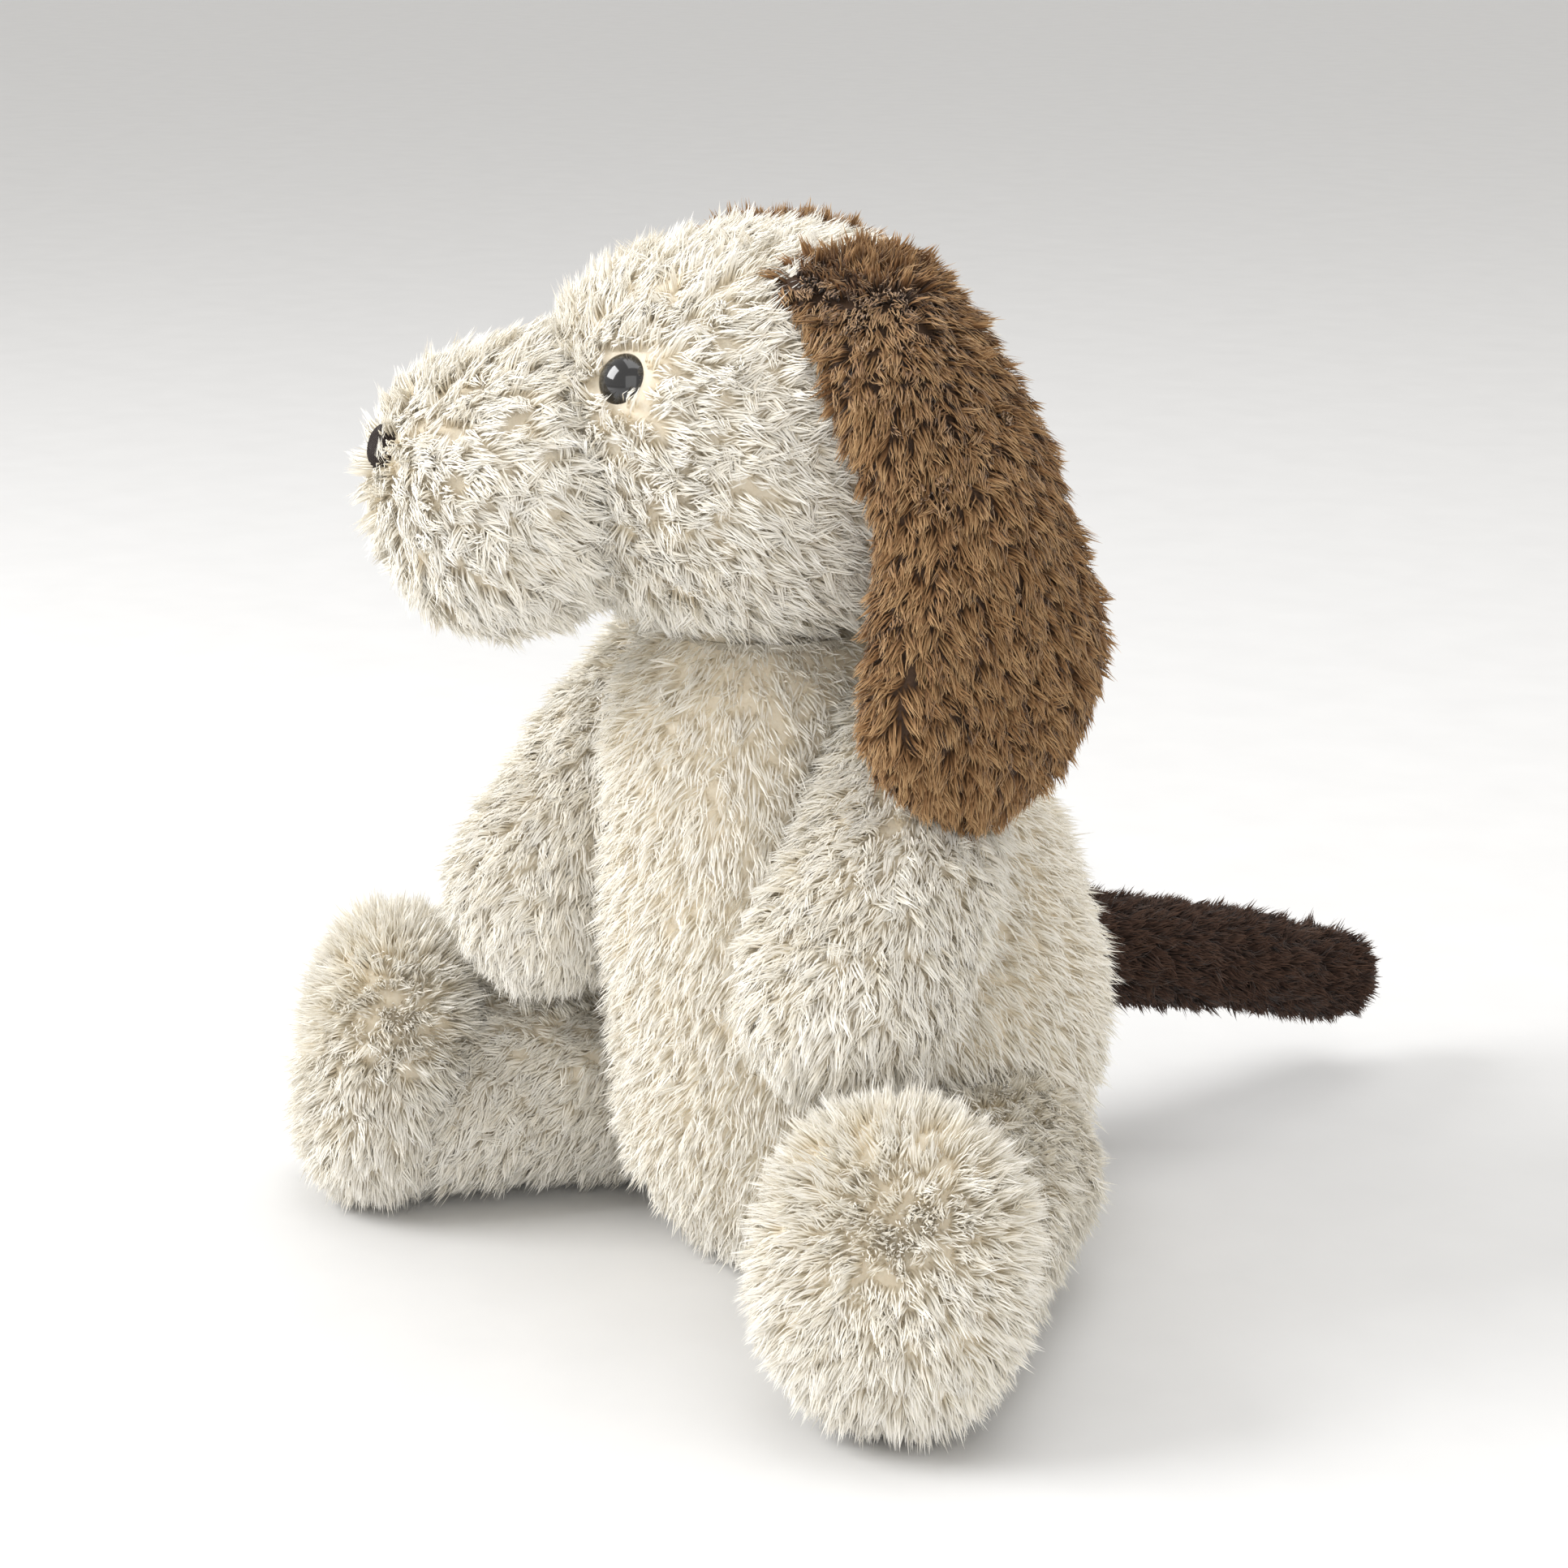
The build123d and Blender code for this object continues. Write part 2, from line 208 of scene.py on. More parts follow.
@dataclass
class Pillow(Form):
    """Superellipsoid: each axis carries a sine or cosine raised to a power for fuller corners."""

    centre: Array
    radii: Triple
    axes: Array = field(default_factory=lambda: np.eye(3))
    round_power: float = 2.0
    side_power: float = 2.0
    swell: Triple = (0.0, 0.0, 0.0)
    rows: int = 72
    columns: int = 110

    def grid(self) -> Array:
        """Longitudes run round the second axis, so the poles face along it.

        x is the longitude's cosine and z its sine, both times the latitude's cosine, y is the
        latitude's sine, and each is raised to 2 over its power with its sign kept. The swell is
        a direction and, as its length, a height: a point moves out by the height times the
        cube of the cosine between its own direction and the swell's.

        Returns:
            Points of the skin, in metres.
        """
        latitude = np.linspace(-math.pi / 2, math.pi / 2, self.rows + 2)[1:-1, None]
        longitude = np.linspace(0, 2 * math.pi, self.columns, endpoint=False)[None, :]

        def fuller(value: Array, power: float) -> Array:
            """Value to the power 2 over power, with its sign."""
            return np.sign(value) * np.abs(value) ** (2 / power)

        ring = fuller(np.cos(latitude), self.side_power)
        local = np.stack([
            ring * fuller(np.cos(longitude), self.round_power),
            fuller(np.sin(latitude), self.side_power) * np.ones_like(longitude),
            ring * fuller(np.sin(longitude), self.round_power),
        ], axis=-1)
        swell = np.array(self.swell)
        facing = np.maximum(unit(local) @ unit(swell), 0) ** 3
        risen = (facing * np.linalg.norm(swell))[..., None] * unit(local)
        local = local * np.array(self.radii) + risen
        return self.centre + (local * MM) @ self.axes.T

    def depth(self, points: Array) -> Array:
        """One less the superellipsoid's own measure of the point, times the smallest radius.

        Args:
            points: Places, in metres.

        Returns:
            The depth of each, in metres.
        """
        local = np.abs((points - self.centre) @ self.axes / (np.array(self.radii) * MM))
        ring = local[..., 0] ** self.round_power + local[..., 2] ** self.round_power
        ring = ring ** (self.side_power / self.round_power)
        measure = (ring + local[..., 1] ** self.side_power) ** (1 / self.side_power)
        return (1 - measure) * min(self.radii) * MM


@dataclass
class Limb(Form):
    """Round limb along a bowed line, with a ball at each end and a radius that swells between."""

    start: Array
    end: Array
    radii: Triple
    bow: Array = field(default_factory=lambda: np.zeros(3))
    rows: int = 96
    columns: int = 84

    def frame(self) -> tuple[Array, Array, Array, float]:
        """Directions of the limb.

        Returns:
            Direction along the limb, two directions across it, and its length in metres.
        """
        along = self.end - self.start
        length = float(np.linalg.norm(along))
        along = along / length
        side = unit(np.cross(along, OFF_AXIS))
        return along, side, np.cross(along, side), length

    def radius(self, place: Array) -> Array:
        """Radius along the limb: the parabola through the three given radii.

        Args:
            place: Places from 0 at the start to 1 at the end.

        Returns:
            The radius at each, in metres.
        """
        first, middle, last = (r * MM for r in self.radii)
        t = np.clip(place, 0, 1)
        swell = 4 * (middle - (first + last) / 2)
        return first + (last - first) * t + swell * t * (1 - t)

    def grid(self) -> Array:
        """Rings whose height runs past both ends along a quarter of a circle.

        Returns:
            Points of the skin, in metres.
        """
        along, side, across, length = self.frame()
        caps = self.rows // 4
        rise = np.linspace(math.pi / 2, 0, caps + 1, endpoint=False)[1:]
        first, _, last = (r * MM for r in self.radii)
        body = np.linspace(0, 1, self.rows - 2 * caps)
        height = np.concatenate([
            -first * np.sin(rise), body * length, length + last * np.sin(rise[::-1]),
        ])
        ring = np.concatenate([
            first * np.cos(rise), self.radius(body), last * np.cos(rise[::-1]),
        ])
        place = np.clip(height / length, 0, 1)
        centre = (
            self.start + height[:, None] * along
            + 4 * (place * (1 - place))[:, None] * self.bow
        )
        turn = np.linspace(0, 2 * math.pi, self.columns, endpoint=False)
        spoke = np.cos(turn)[:, None] * side + np.sin(turn)[:, None] * across
        return centre[:, None, :] + ring[:, None, None] * spoke[None, :, :]

    def depth(self, points: Array) -> Array:
        """Radius at the nearest place on the limb's line, less the distance from that line.

        Args:
            points: Places, in metres.

        Returns:
            The depth of each, in metres.
        """
        along, _, _, length = self.frame()
        place = np.clip(((points - self.start) @ along) / length, 0, 1)
        centre = (
            self.start + (place * length)[..., None] * along
            + 4 * (place * (1 - place))[..., None] * self.bow
        )
        return self.radius(place) - np.linalg.norm(points - centre, axis=-1)


@dataclass
class Stack(Form):
    """Upright body of level ellipses: height, half width, half depth and middle, in mm."""

    sections: tuple[Section, ...]
    inset: float = SKIN_DEPTH
    rows: int = 110
    columns: int = 130
    closing_rows: int = 7

    def grid(self) -> Array:
        """Ellipses through the smoothed sections, drawn in to the middle at both ends.

        Returns:
            Points of the skin, in metres.
        """
        table = smooth_rows(np.array(self.sections), self.rows)
        height = np.clip(table[:, 0] * MM, FLOOR_CLEARANCE, None)
        draw = np.linspace(0, 1, self.closing_rows + 1)[1:-1]
        shrink = np.concatenate([draw, np.ones(self.rows), draw[::-1]])
        table, height = lengthened(table, draw.size), lengthened(height, draw.size)
        turn = np.linspace(0, 2 * math.pi, self.columns, endpoint=False)[None, :]
        half = (table[:, 1:3] - self.inset) * MM * shrink[:, None]
        return np.stack([
            half[:, :1] * np.cos(turn),
            half[:, 1:] * np.sin(turn) + table[:, 3:] * MM,
            np.repeat(height[:, None], self.columns, 1),
        ], axis=-1)

    def depth(self, points: Array) -> Array:
        """One less the ellipse's measure at the point's height, times the half width there.

        Args:
            points: Places, in metres.

        Returns:
            The depth of each, in metres.
        """
        table = np.array(self.sections)
        level = points[..., 2] / MM
        width, deep, middle = (
            np.interp(level, table[:, 0], table[:, k]) * MM for k in (1, 2, 3)
        )
        measure = np.hypot(points[..., 0] / width, (points[..., 1] - middle) / deep)
        over = np.maximum(level - table[-1, 0], 0) * MM
        return (1 - measure) * np.minimum(width, deep) - over


@dataclass
class HangingEar(Form):
    """Flat sausage through stations down the ear: out, up, along, half width, half thickness."""

    stations: tuple[Station, ...]
    origin: Array
    outward: Array
    forward: Array
    inset: float = SKIN_DEPTH
    thinnest: float = 0.6
    rows: int = 120
    columns: int = 96
    closing_rows: int = 6

    def grid(self) -> Array:
        """Ellipses square to the ear's middle line, rounded off at both ends.

        Past each end the ellipse shrinks by the sine of an angle while its middle moves on by
        the half thickness times the cosine.

        Returns:
            Points of the skin, in metres.
        """
        table = smooth_rows(np.array(self.stations), self.rows)
        hang = table[:, :1] * self.outward + table[:, 1:2] * UP
        spine = self.origin + MM * (hang + table[:, 2:3] * self.forward)
        run = np.gradient(MM * hang, axis=0)
        thin = unit(np.cross(run, self.forward))
        half = np.maximum(table[:, 3:5] - self.inset, self.thinnest) * MM
        close = np.linspace(0, math.pi / 2, self.closing_rows + 1)[1:-1]
        draw, beyond = np.sin(close), np.cos(close)
        shrink = np.concatenate([draw, np.ones(self.rows), draw[::-1]])
        onward = unit(run)
        root_cap = spine[0] - onward[0] * (beyond * half[0, 1])[:, None]
        tip_cap = spine[-1] + onward[-1] * (beyond * half[-1, 1])[::-1, None]
        spine = np.vstack([root_cap, spine, tip_cap])
        thin = lengthened(thin, draw.size)
        half = lengthened(half, draw.size) * shrink[:, None]
        turn = np.linspace(0, 2 * math.pi, self.columns, endpoint=False)[None, :, None]
        return (
            spine[:, None, :]
            + np.cos(turn) * half[:, None, :1] * self.forward
            + np.sin(turn) * half[:, None, 1:] * thin[:, None, :]
        )

    def depth(self, points: Array) -> Array:
        """Ears hang clear of the other parts, so nothing counts as inside one."""
        return np.full(points.shape[:-1], -1.0)


# Meshes from grids


def put_in_mesh(
    name: str, points: Array, faces: Array, more_faces: Array | None = None
) -> bpy.types.Object:
    """Puts points and faces into a new mesh object at the origin.

    Args:
        name: Name of the piece.
        points: Vertices, in metres.
        faces: Vertex numbers, one row for each face of one kind.
        more_faces: Further faces of another kind, such as the triangles after the quads.

    Returns:
        The new object, linked to the scene.
    """
    kinds = [faces] if more_faces is None else [faces, more_faces]
    loops = np.concatenate([kind.ravel() for kind in kinds]).astype(np.int32)
    sizes = np.concatenate([np.full(len(kind), kind.shape[1]) for kind in kinds])
    starts = np.concatenate([[0], np.cumsum(sizes)[:-1]]).astype(np.int32)
    mesh = bpy.data.meshes.new(name)
    mesh.vertices.add(len(points))
    mesh.vertices.foreach_set("co", points.astype(np.float32).ravel())
    mesh.loops.add(len(loops))
    mesh.loops.foreach_set("vertex_index", loops)
    mesh.polygons.add(len(starts))
    mesh.polygons.foreach_set("loop_start", starts)
    mesh.update(calc_edges=True)
    mesh.polygons.foreach_set("use_smooth", np.ones(len(starts), dtype=bool))
    piece = bpy.data.objects.new(name, mesh)
    bpy.context.scene.collection.objects.link(piece)
    return piece


def grid_normals(grid: Array) -> Array:
    """Outward directions on a grid: the cross product of its steps down and round.

    Args:
        grid: Rows by columns by three.

    Returns:
        A direction for each point, all of them inwards or outwards at first and then turned
        outwards together.
    """
    down = np.gradient(grid, axis=0)
    around = (np.roll(grid, -1, axis=1) - np.roll(grid, 1, axis=1)) / 2
    normal = unit(np.cross(down, around))
    outward = grid - grid.mean(axis=(0, 1))
    return normal if np.sum(normal * outward) > 0 else -normal


def closed_skin(name: str, grid: Array) -> bpy.types.Object:
    """Quads between the rows of a grid and a fan of triangles at each pole.

    Args:
        name: Name of the piece.
        grid: Rows by columns by three.

    Returns:
        The closed skin, with its faces pointing outwards.
    """
    rows, columns, _ = grid.shape
    number = np.arange(rows * columns).reshape(rows, columns)
    after = np.roll(number, -1, axis=1)
    quads = np.stack([number[:-1], number[1:], after[1:], after[:-1]], axis=-1).reshape(-1, 4)
    first, last = rows * columns, rows * columns + 1
    top = np.stack([np.full(columns, first), number[0], after[0]], axis=-1)
    bottom = np.stack([np.full(columns, last), after[-1], number[-1]], axis=-1)
    points = np.vstack([grid.reshape(-1, 3), grid[0].mean(0), grid[-1].mean(0)])
    triangles = np.vstack([top, bottom])
    corner = points[quads]
    face = np.cross(corner[:, 2] - corner[:, 0], corner[:, 3] - corner[:, 1])
    if np.sum(face * (corner.mean(1) - points.mean(0))) < 0:
        quads, triangles = quads[:, ::-1], triangles[:, ::-1]
    return put_in_mesh(name, points, quads, triangles)


# Finishes


def new_material(name: str) -> tuple[bpy.types.Material, bpy.types.NodeTree, bpy.types.Node]:
    """New node material, all settings left to the caller.

    Args:
        name: Name of the material.

    Returns:
        The material, its node tree and its shader.
    """
    material = bpy.data.materials.new(name)
    material.use_nodes = True
    tree = material.node_tree
    return material, tree, tree.nodes["Principled BSDF"]


def ramp_node(
    tree: bpy.types.NodeTree, stops: tuple[tuple[float, Triple], ...]
) -> bpy.types.Node:
    """Colour ramp through the given stops.

    Args:
        tree: Node tree it goes in.
        stops: Place from 0 to 1 and colour of each stop, in order.

    Returns:
        The ramp.
    """
    node = tree.nodes.new("ShaderNodeValToRGB")
    elements = node.color_ramp.elements
    while len(elements) < len(stops):
        elements.new(0.5)
    for element, (place, colour) in zip(elements, stops):
        element.position = place
        element.color = (*colour, 1.0)
    return node


def bump_node(
    tree: bpy.types.NodeTree,
    shader: bpy.types.Node,
    height: bpy.types.NodeSocket,
    depth: float,
) -> None:
    """Roughens the surface by a height pattern.

    Args:
        tree: Node tree it goes in.
        shader: Shader whose surface it roughens.
        height: Pattern from 0 to 1.
        depth: Height of the relief, in millimetres.
    """
    bump = tree.nodes.new("ShaderNodeBump")
    bump.inputs["Strength"].default_value = 1.0
    bump.inputs["Distance"].default_value = depth * MM
    tree.links.new(height, bump.inputs["Height"])
    tree.links.new(bump.outputs["Normal"], shader.inputs["Normal"])


@dataclass(frozen=True)
class PileFinish:
    """Strands pale at the tip, darker and warmer at the root as painted shade, varied from tuft to
    tuft.
    """

    name: str
    # root is painted shade: the darker, warmer colour where the pile shades itself deep down
    root: Triple
    middle: Triple
    tip: Triple
    shade: Triple
    shade_amount: float = 0.35
    middle_place: float = 0.5
    roughness: float = 0.85
    sheen: float = 0.25

    def material(self) -> bpy.types.Material:
        """Ramp from root to tip, with painted shade at the root, mixed towards a second shade by
        each tuft's own value.

        Returns:
            The finish, reading the pile's own map.
        """
        material, tree, shader = new_material(self.name)
        place = tree.nodes.new("ShaderNodeUVMap")
        place.uv_map = PILE_UV
        split = tree.nodes.new("ShaderNodeSeparateXYZ")
        tree.links.new(place.outputs["UV"], split.inputs[0])
        # Painted shade: the ramp darkens the blades towards their roots, standing in for the shade
        # deep in the pile
        stops = ((0.0, self.root), (self.middle_place, self.middle), (1.0, self.tip))
        ramp = ramp_node(tree, stops)
        tree.links.new(split.outputs["Y"], ramp.inputs["Fac"])
        amount = tree.nodes.new("ShaderNodeMath")
        amount.operation = "MULTIPLY"
        amount.inputs[1].default_value = self.shade_amount
        tree.links.new(split.outputs["X"], amount.inputs[0])
        mix = tree.nodes.new("ShaderNodeMix")
        mix.data_type = "RGBA"
        mix.blend_type = "MULTIPLY"
        mix.inputs["B"].default_value = (*self.shade, 1.0)
        tree.links.new(amount.outputs[0], mix.inputs["Factor"])
        tree.links.new(ramp.outputs["Color"], mix.inputs["A"])
        tree.links.new(mix.outputs["Result"], shader.inputs["Base Color"])
        shader.inputs["Roughness"].default_value = self.roughness
        shader.inputs["Sheen Weight"].default_value = self.sheen
        shader.inputs["Sheen Roughness"].default_value = 0.5
        shader.inputs["Specular IOR Level"].default_value = 0.2
        return material


class Grain(Enum):
    """Pattern of a plain finish."""

    CLOTH = "cloth"
    FIBRE = "fibre"
    THREAD = "thread"
    MOULDED = "moulded"
    BEADS = "beads"


@dataclass(frozen=True)
class PlainFinish:
    """Finish with two close shades and a relief that follow one pattern."""

    name: str
    dark: Triple
    light: Triple
    grain: Grain
    size: float
    relief: float
    roughness: float = 0.8
    coat: float = 0.0

    def material(self) -> bpy.types.Material:
        """Shades between dark and light, and rises, by the grain's own pattern.

        Returns:
            The finish, reading object coordinates.
        """
        material, tree, shader = new_material(self.name)
        place = tree.nodes.new("ShaderNodeTexCoord")
        if self.grain is Grain.BEADS:
            pattern, out = tree.nodes.new("ShaderNodeTexVoronoi"), "Distance"
        elif self.grain is Grain.THREAD:
            pattern, out = tree.nodes.new("ShaderNodeTexWave"), "Fac"
            pattern.bands_direction = "DIAGONAL"
            pattern.inputs["Distortion"].default_value = 1.5
        else:
            pattern, out = tree.nodes.new("ShaderNodeTexNoise"), "Fac"
            pattern.inputs["Detail"].default_value = 6.0
        pattern.inputs["Scale"].default_value = 1.0 / (self.size * MM)
        tree.links.new(place.outputs["Object"], pattern.inputs["Vector"])
        ramp = ramp_node(tree, ((DARK_PLACE, self.dark), (LIGHT_PLACE, self.light)))
        tree.links.new(pattern.outputs[out], ramp.inputs["Fac"])
        tree.links.new(ramp.outputs["Color"], shader.inputs["Base Color"])
        bump_node(tree, shader, pattern.outputs[out], self.relief)
        shader.inputs["Roughness"].default_value = self.roughness
        shader.inputs["Coat Weight"].default_value = self.coat
        shader.inputs["Coat Roughness"].default_value = 0.03
        return material


# The root colours are painted shade, darker where the strands shade each other deep in the pile
CREAM_PILE = PileFinish(
    "cream_pile", (0.88, 0.79, 0.62), (0.965, 0.93, 0.845), (0.985, 0.97, 0.93),
    (0.98, 0.95, 0.89), shade_amount=0.6, middle_place=0.45,
)
EAR_PILE = PileFinish(
    "golden_brown_pile", (0.07, 0.032, 0.012), (0.30, 0.165, 0.07), (0.68, 0.45, 0.23),
    (0.60, 0.50, 0.42), shade_amount=0.8, middle_place=0.5,
)
TAIL_PILE = PileFinish(
    "dark_brown_pile", (0.012, 0.006, 0.004), (0.045, 0.022, 0.013), (0.13, 0.07, 0.045),
    (0.5, 0.42, 0.38), shade_amount=0.8,
)
# The backings share the piles' root colours: the cloth's own tone, darkened as painted shade under
# the pile
CREAM_CLOTH = PlainFinish(
    "cream_backing", (0.84, 0.74, 0.58), (0.93, 0.86, 0.72), Grain.CLOTH, 1.6, 0.4)
EAR_CLOTH = PlainFinish(
    "brown_backing", (0.035, 0.018, 0.01), (0.10, 0.052, 0.026), Grain.CLOTH, 1.6, 0.4)
TAIL_CLOTH = PlainFinish(
    "dark_backing", (0.012, 0.006, 0.004), (0.035, 0.018, 0.012), Grain.CLOTH, 1.6, 0.4)
NOSE_STITCH = PlainFinish(
    "nose_stitch", (0.010, 0.006, 0.005), (0.045, 0.026, 0.02), Grain.THREAD, 0.8, 0.15,
    roughness=0.5)
EYE_GLOSS = PlainFinish(
    "eye_gloss", (0.004, 0.004, 0.005), (0.010, 0.009, 0.009), Grain.MOULDED, 6.0, 0.01,
    roughness=0.12, coat=1.0)
INNER_FINISHES = {
    "polyester_fill": PlainFinish(
        "polyester_fibre", (0.78, 0.78, 0.77), (0.93, 0.93, 0.92), Grain.FIBRE, 3.0, 0.8),
    "pouch_cloth": PlainFinish(
        "pouch_cotton", (0.72, 0.70, 0.65), (0.86, 0.84, 0.80), Grain.CLOTH, 0.8, 0.2),
    "seam_thread": PlainFinish(
        "sewing_thread", (0.60, 0.54, 0.44), (0.82, 0.77, 0.66), Grain.THREAD, 0.6, 0.1),
    "washer_plastic": PlainFinish(
        "washer_moulding", (0.74, 0.74, 0.72), (0.85, 0.85, 0.83), Grain.MOULDED, 4.0, 0.05,
        roughness=0.45),
    "pellet_plastic": PlainFinish(
        "pellet_beads", (0.60, 0.62, 0.64), (0.86, 0.88, 0.90), Grain.BEADS, 3.0, 1.0,
        roughness=0.35),
}


# Pile


@dataclass(frozen=True)
class Comb:
    """Way the pile lies: away from a point, plus a steady pull."""

    pull: Triple = (0.0, 0.0, -1.0)
    source: Triple | None = None

    def direction(self, points: Array, normals: Array) -> Array:
        """Direction of the lie on the surface.

        Args:
            points: Places on the skin, in metres.
            normals: Outward directions there.

        Returns:
            Directions along the surface, shorter where the pull meets the surface squarely.
        """
        lie = np.broadcast_to(np.array(self.pull, float), points.shape).copy()
        if self.source is not None:
            lie += unit(points - np.array(self.source))
        return lie - np.sum(lie * normals, axis=-1, keepdims=True) * normals


@dataclass(frozen=True)
class TuftShape:
    """Proportions that all tufts share: mm for depths, else shares of the pile's own sizes."""

    overlap: float = 1.9                                # tufts for each tuft's area of skin
    buried: float = 2.0                                 # this deep in a neighbour, none grow
    fewest_blades: int = 6
    combing: float = 1.5                                # how soon a short lie combs fully
    least_combing: float = 0.2
    lean_spread: float = 0.12
    lean_limits: tuple[float, float] = (0.05, 0.85)
    length_limits: tuple[float, float] = (0.72, 1.12)
    rim_shortening: float = 0.28                        # a tuft's outer blades are shorter
    blade_spread: float = 0.08
    root_depth: float = 0.4
    tip_spread: float = 0.45
    bow_rise: float = 0.14
    bow_spread: float = 0.25
    facing_out: float = 0.7                             # how far rim blades face sideways
    facing_spread: float = 0.2
    middle_width: float = 0.85
    shade_spread: float = 0.15


@dataclass(frozen=True)
class Pile:
    """How one part's pile is cut and combed, sizes in mm."""

    finish: PileFinish
    comb: Comb
    length: float = 8.0
    lean: float = 0.5
    unruly: float = 0.35
    tuft_radius: float = 1.8
    gather: float = 0.65
    blades_per_mm2: float = 3.3
    blade_width: float = 0.42
    most_blades: int = 65000
    seed: int = 1
    tuft: TuftShape = TuftShape()


@dataclass(frozen=True)
class BareSpot:
    """Place kept clear of strands, such as round an eye."""

    centre: Array
    radius: float


def scatter(
    grid: Array, normals: Array, count: int, rng: np.random.Generator
) -> tuple[Array, Array]:
    """Spreads places evenly over a grid's area.

    A cell's area is half the cross product of its diagonals. The areas are added up in order,
    and evenly stepped shares of the sum, each moved by less than one step, fall in cells as
    often as the cells are large.

    Args:
        grid: Rows by columns by three.
        normals: Outward directions at the grid's points.
        count: Number of places.
        rng: Source of the jitter.

    Returns:
        The places and the outward directions there.
    """
    right, below, across = np.roll(grid, -1, 1)[:-1], grid[1:], np.roll(grid, -1, 1)[1:]
    start = grid[:-1]
    area = 0.5 * np.linalg.norm(np.cross(across - start, right - below), axis=-1)
    total = np.cumsum(area.ravel())
    share = (np.arange(count) + rng.random(count)) / count * total[-1]
    cell = np.minimum(np.searchsorted(total, share), area.size - 1)
    row, column = np.divmod(cell, area.shape[1])
    following = (column + 1) % grid.shape[1]
    s, t = rng.random((2, count, 1))

    def between(values: Array) -> Array:
        """Value inside the cell, mixed from its four corners."""
        return (
            (1 - s) * (1 - t) * values[row, column] + s * (1 - t) * values[row + 1, column]
            + (1 - s) * t * values[row, following] + s * t * values[row + 1, following]
        )

    return between(grid), unit(between(normals))


def tuft_roots(
    grid: Array, pile: Pile, hidden_by: list[Form], bare: list[BareSpot], rng: np.random.Generator
) -> tuple[Array, Array, int]:
    """Roots of the tufts that show.

    Args:
        grid: The skin's points.
        pile: How it is cut and combed.
        hidden_by: Neighbouring forms inside which nothing grows.
        bare: Places kept clear.
        rng: Source of the jitter.

    Returns:
        The roots, the outward directions there, and the number of blades in each tuft.
    """
    tuft = pile.tuft
    normals = grid_normals(grid)
    steps = np.cross(np.roll(grid, -1, 1)[:-1] - grid[:-1], grid[1:] - grid[:-1])
    area = np.linalg.norm(steps, axis=-1).sum() / MM**2
    count = int(area / (math.pi * pile.tuft_radius**2) * tuft.overlap)
    root, out = scatter(grid, normals, count, rng)
    shown = np.ones(count, bool)
    for form in hidden_by:
        shown &= form.depth(root) < tuft.buried * MM
    for spot in bare:
        shown &= np.linalg.norm(root - spot.centre, axis=-1) > spot.radius * MM
    blades = min(area * shown.mean() * pile.blades_per_mm2, pile.most_blades)
    root, out = root[shown], out[shown]
    return root, out, max(int(blades / len(root)), tuft.fewest_blades)


def blade_corners(
    root: Array, out: Array, blades_each: int, pile: Pile, rng: np.random.Generator
) -> Array:
    """Corners of every blade: two at the start, two at the bowed middle and the tip.

    A tuft's reach is a mix of the outward direction and the comb, each of them as much as its
    lean says, times the pile's length.

    Args:
        root: Roots of the tufts.
        out: Outward directions there.
        blades_each: Number of blades in each tuft.
        pile: How it is cut and combed.
        rng: Source of the unevenness.

    Returns:
        Tufts by blades by five corners by three, in metres.
    """
    tufts, tuft = len(root), pile.tuft
    lie = pile.comb.direction(root, out)
    strength = tuft.combing * np.linalg.norm(lie, axis=-1, keepdims=True)
    strength = np.clip(strength, tuft.least_combing, 1)
    comb = unit(lie) * strength + pile.unruly * rng.normal(size=(tufts, 3))
    comb = unit(comb - np.sum(comb * out, axis=-1, keepdims=True) * out)
    side = np.cross(out, comb)
    lean = pile.lean * strength + tuft.lean_spread * rng.normal(size=(tufts, 1))
    lean = np.clip(lean, *tuft.lean_limits)
    reach = unit((1 - lean) * out + lean * comb) * pile.length * MM
    reach *= rng.uniform(*tuft.length_limits, (tufts, 1))

    # One row for each tuft and one column for each of its blades
    shape = (tufts, blades_each, 1)
    root, out, reach = root[:, None], out[:, None], reach[:, None]
    angle = rng.uniform(0, 2 * math.pi, shape)
    radius = np.sqrt(rng.random(shape))
    spoke = np.cos(angle) * comb[:, None] + np.sin(angle) * side[:, None]
    disc = spoke * radius * pile.tuft_radius * MM
    stretch = 1 - tuft.rim_shortening * radius**2 + tuft.blade_spread * rng.normal(size=shape)
    start = root + disc - tuft.root_depth * MM * out
    tip = root + reach * stretch + disc * pile.gather
    tip = tip + tuft.tip_spread * MM * rng.normal(size=tip.shape)
    rise = tuft.bow_rise * pile.length * MM
    bowed = (start + tip) / 2 + rise * out + tuft.bow_spread * disc
    run = unit(tip - start)
    facing = tuft.facing_out * spoke * radius + out
    facing = unit(facing + tuft.facing_spread * rng.normal(size=tip.shape))
    facing = unit(facing - np.sum(facing * run, axis=-1, keepdims=True) * run)
    width = np.cross(run, facing) * pile.blade_width * MM / 2
    narrower = tuft.middle_width * width
    corners = np.stack(
        [start - width, start + width, bowed + narrower, bowed - narrower, tip], axis=2)
    corners[..., 2] = np.maximum(corners[..., 2], FLOOR_CLEARANCE)
    return corners


